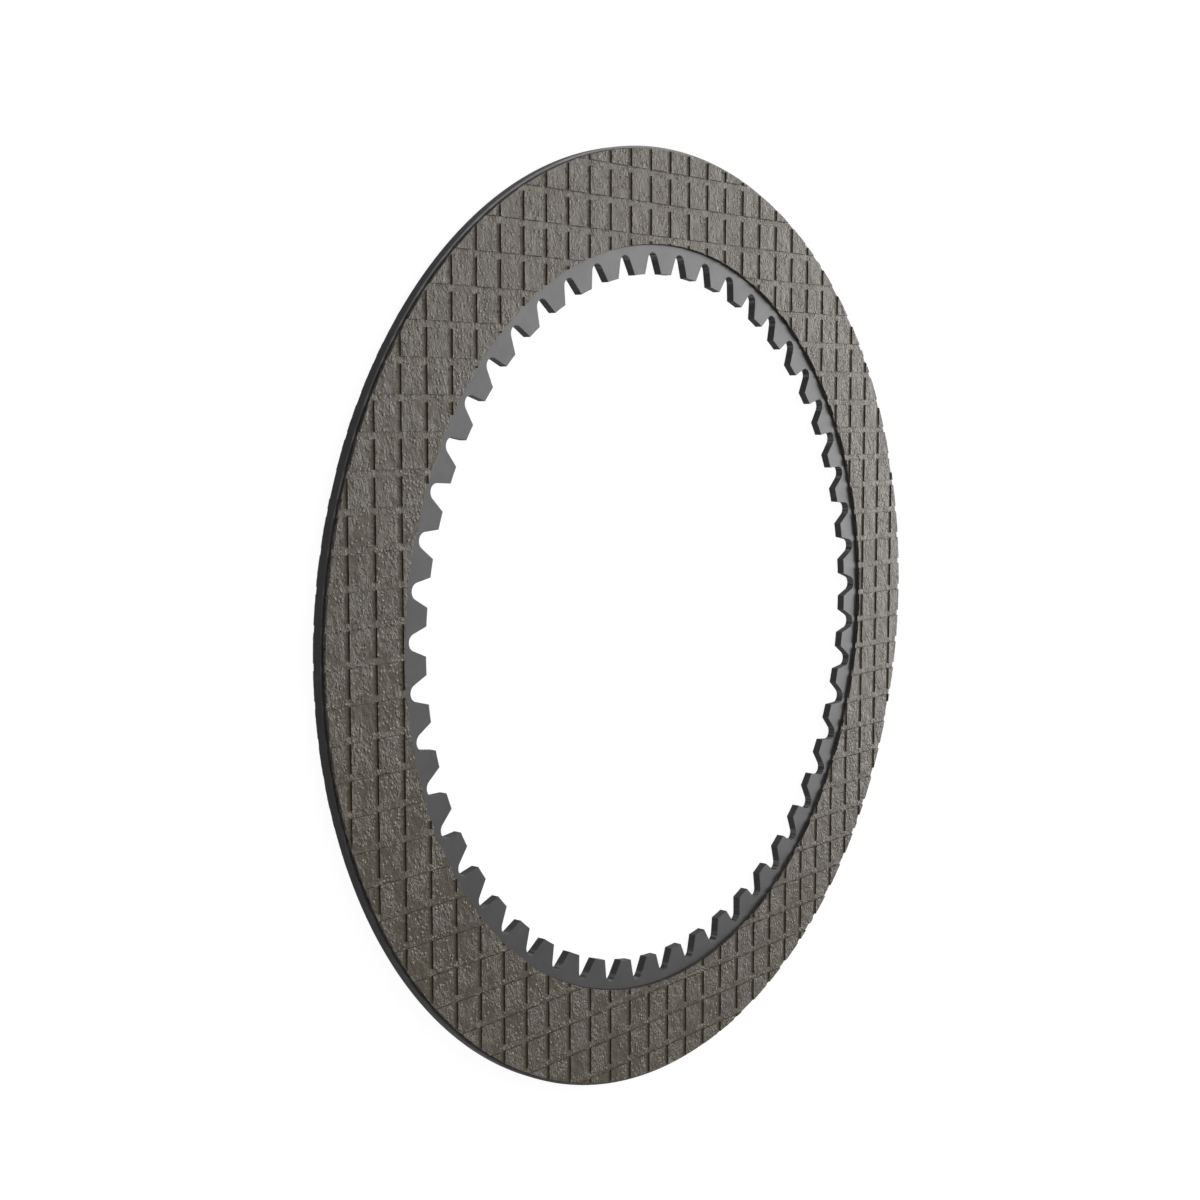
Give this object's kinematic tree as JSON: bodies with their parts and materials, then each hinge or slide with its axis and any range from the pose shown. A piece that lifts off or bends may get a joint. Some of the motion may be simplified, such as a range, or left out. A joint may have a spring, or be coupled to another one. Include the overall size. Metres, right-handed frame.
{
  "type": "clutch disc",
  "caption": "Flat ring-shaped friction disc of a wet clutch: a steel core plate with an internal spline, faced on both sides with rings of grooved friction material.",
  "frame": {"origin": "on the disc's axis, at the plane of its back friction face, on which it lies", "axes": "+Z along the axis, out of the front friction face; +Y through the middle of a spline tooth and along one direction of the groove grid; +X along the other direction of the grid"},
  "size_m": [0.212, 0.212, 0.0036],
  "materials": {
    "core_steel": "blanked and levelled steel sheet, dull neutral grey, dark along its sheared edges",
    "friction_material": "resin-bonded friction material, rough and mottled brownish grey"
  },
  "bodies": {
    "root": {"core_plate": "core_steel", "front_facing": "friction_material", "back_facing": "friction_material"}
  },
  "joints": []
}
